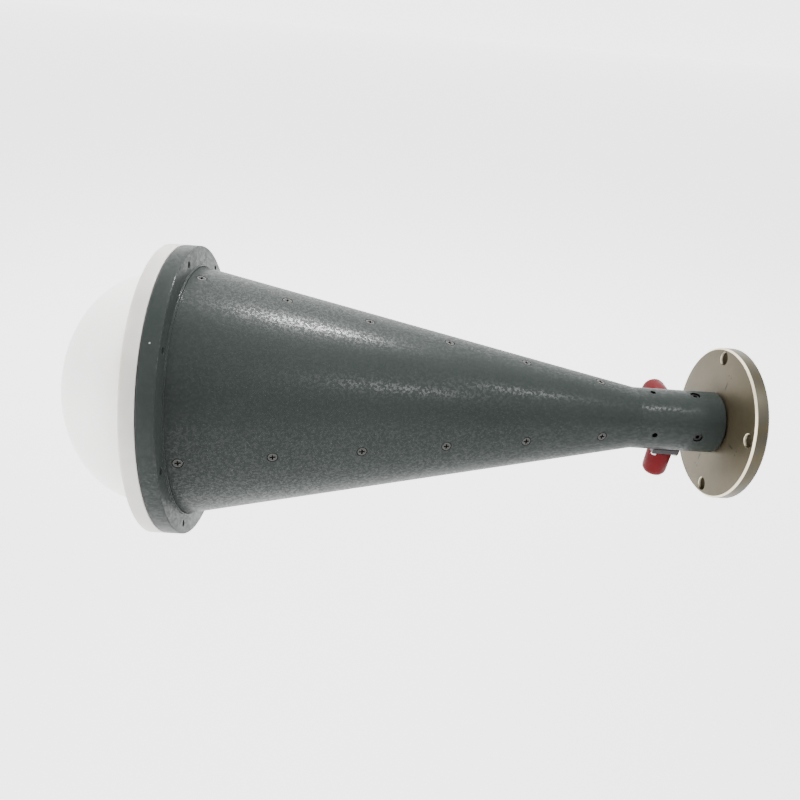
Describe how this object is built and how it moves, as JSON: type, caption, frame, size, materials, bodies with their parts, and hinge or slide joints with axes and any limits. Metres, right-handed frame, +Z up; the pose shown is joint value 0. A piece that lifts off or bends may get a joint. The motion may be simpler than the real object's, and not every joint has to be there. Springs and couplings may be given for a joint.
{
  "type": "horn antenna",
  "caption": "Dual-polarised conical horn antenna with inner ridges, a white dome lens, two capped coaxial ports and a round mounting flange.",
  "frame": {"origin": "centre of the mounting flange's back face", "axes": "+X out of the mounting flange's back face, so the lens looks towards -X; +Z up through the top ridge; +Y towards the back port"},
  "size_m": [0.4447, 0.19, 0.19],
  "materials": {
    "lens_ptfe": "milky, satin, turned",
    "gasket_rubber": "matte",
    "horn_paint": "semi-gloss with light orange peel",
    "ridge_metal": "machined",
    "plug_metal": "black anodised",
    "plated_flange": "turned, warm conversion coating",
    "dark_screw": "blackened",
    "bright_screw": "stainless",
    "port_nickel": "nickel plated",
    "insulator_ptfe": "smooth",
    "contact_gold": "gold plated",
    "cap_vinyl": "soft, satin"
  },
  "bodies": {
    "root": {"lens": "lens_ptfe", "lens_gasket": "gasket_rubber", "lens_screws": "bright_screw", "front_flange": "horn_paint", "horn_body": "horn_paint", "ridge_top": "ridge_metal", "ridge_front": "ridge_metal", "ridge_bottom": "ridge_metal", "ridge_back": "ridge_metal", "ridge_screws": "dark_screw", "ridge_set_screws": "dark_screw", "feed_plug": "plug_metal", "plug_screws": "dark_screw", "mounting_flange": "plated_flange", "flange_screws": "bright_screw", "port_body_bottom": "port_nickel", "port_body_back": "port_nickel", "port_insulator_bottom": "insulator_ptfe", "port_insulator_back": "insulator_ptfe", "port_pin_bottom": "contact_gold", "port_pin_back": "contact_gold", "port_screws": "bright_screw", "dust_cap_bottom": "cap_vinyl", "dust_cap_back": "cap_vinyl"}
  },
  "joints": []
}
